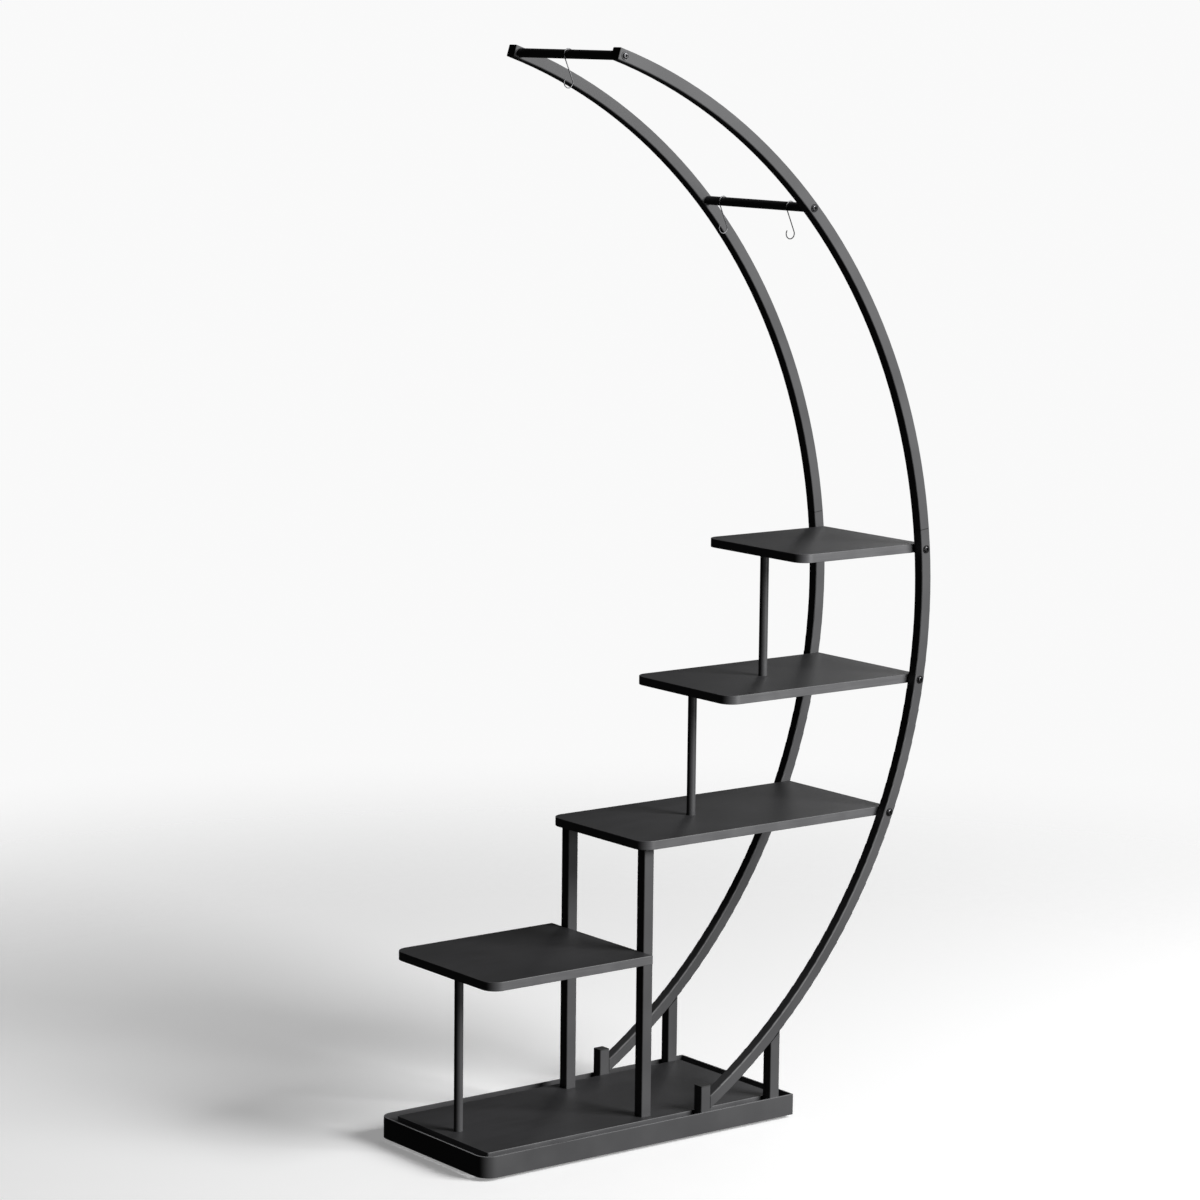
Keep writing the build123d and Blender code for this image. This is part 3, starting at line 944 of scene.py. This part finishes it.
strap_low, strap_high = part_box("base_straps")
strap_xs = sorted(vertex.co.x for vertex in frame["nodes"]["base_straps"].data.vertices)
strap_edges = [strap_xs[0]]
for before, after in zip(strap_xs, strap_xs[1:]):
    if after - before > wider_than_a_strap:
        strap_edges += [before, after]
strap_edges.append(strap_xs[-1])
strap_runs = []
for left, right in zip(strap_edges[::2], strap_edges[1::2]):
    for y in (strap_low.y, strap_high.y):
        start = (left + strap_end_room, y, strap_low.z)
        strap_runs.append((start, (right - strap_end_room, y, strap_low.z)))
weld("strap_welds", strap_runs)

nut_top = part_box("foot_nuts")[1].z
nut_corners = [nut_corner_out * Vector(direction) for direction in circle(nut_sides)]
nut_runs = []
for place in nut_places:
    for side in tacked_sides:
        tack = [
            place + nut_corners[side].lerp(nut_corners[side + 1], share)
            for share in (tack_from, tack_to)
        ]
        nut_runs.append([(spot.x, spot.y, nut_top) for spot in tack])
weld("nut_welds", nut_runs, nut_bead_radius)

# %% [markdown]
# ## The floor
# The floor is one pale disc that fades out at its rim into an equally pale surround, so no
# edge crosses the picture. It glows a little, as a floor of lit paper does in a studio, which
# keeps the stand's shadow soft and pale. Its light isn't thrown back on the stand, so the
# stand's undersides and left faces stay dark.

# %% Floor
floor_radius = 3.2
floor_points = 96
fade_from = 1.3
paper_colours = (0.80, 0.80, 0.80), (0.84, 0.84, 0.84)
paper_roughness = 0.9
paper_glow = 0.26
fibre_scale = 45.0
fibre_height = 0.0002
fibre_strength = 0.2
fibre_roughness = 0.1

rim = [(floor_radius * c, floor_radius * s, 0) for c, s in circle(floor_points)]
floor_mesh = bpy.data.meshes.new("studio_floor")
floor_mesh.from_pydata(rim, [], [range(len(rim))])
floor = bpy.data.objects.new("studio_floor", floor_mesh)
bpy.context.scene.collection.objects.link(floor)

paper, spot = new_finish("pale_floor_paper")
from_middle = paper.node("ShaderNodeVectorMath", {"operation": "LENGTH"}, {0: spot}, output=1)
fibres = grain(paper, spot, fibre_scale, detail=4.0)
floor_mesh.materials.append(
    surface(
        paper,
        blend_colours(paper, fibres, *paper_colours),
        paper_roughness + fibre_roughness * fibres,
        raised(paper, fibres, fibre_height, fibre_strength),
        Alpha=1.0 - between(paper, from_middle, fade_from, floor_radius),
        Specular_IOR_Level=0.0,
        Emission_Color=(1, 1, 1, 1),
        Emission_Strength=paper_glow,
    )
)
floor.visible_diffuse = False
floor.visible_glossy = False

# %% [markdown]
# ## Surround and lights
# The camera sees a pale surround, but the surround lights the stand only weakly. A big soft
# light stands high in front and to the right. It makes the front faces grey, leaves the left
# faces nearly black, which draws the arches clearly, and lets each shelf shade the back of the
# board under it. A second, low one evens out the lower half. A weak one stands behind on the
# right. It shows the stand's back when one walks round it, and the boards mirror it at a shallow
# angle, which gives them a soft sheen.

# %% Lights
seen_grey = (0.95, 0.95, 0.95, 1)
seen_strength = 1.0
felt_strength = 0.02

scene = bpy.context.scene
scene.view_settings.view_transform = "Standard"
scene.world = bpy.data.worlds.new("pale_surround")
surround = Finish(scene.world)
seen = surround.node("ShaderNodeLightPath", output="Is Camera Ray")
pale_sockets = {"Color": seen_grey, "Strength": seen_strength}
pale = surround.node("ShaderNodeBackground", sockets=pale_sockets)
dim = surround.node("ShaderNodeBackground", sockets={"Strength": felt_strength})
mixed = surround.node("ShaderNodeMixShader", sockets={0: seen, 1: dim, 2: pale})
surround.node("ShaderNodeOutputWorld", sockets={"Surface": mixed})


def soft_light(name, place, aim, side, power):
    """A square softbox that the camera doesn't see."""
    lamp = bpy.data.lights.new(name, "AREA")
    lamp.shape = "SQUARE"
    lamp.size = side
    lamp.energy = power
    lamp_object = bpy.data.objects.new(name, lamp)
    scene.collection.objects.link(lamp_object)
    lamp_object.location = place
    towards = Vector(aim) - Vector(place)
    lamp_object.rotation_euler = towards.to_track_quat("-Z", "Y").to_euler()
    lamp_object.visible_camera = False
    print("light", name, power, "W")


soft_light("front_softbox", place=(2.6, -4.8, 3.6), aim=(0.0, 0.0, 0.8), side=3.0, power=620)
soft_light("low_softbox", place=(1.8, -5.2, 0.6), aim=(0.0, 0.0, 0.4), side=1.4, power=85)
soft_light("back_softbox", place=(5.0, 3.2, 2.6), aim=(0.0, 0.0, 0.8), side=2.5, power=32)

# %% [markdown]
# ## Bring the scene up to date
# Everything added stays inside the box of the measured pieces. The last line brings the view
# layer up to date.

# %% Bring the scene up to date
bpy.context.view_layer.update()
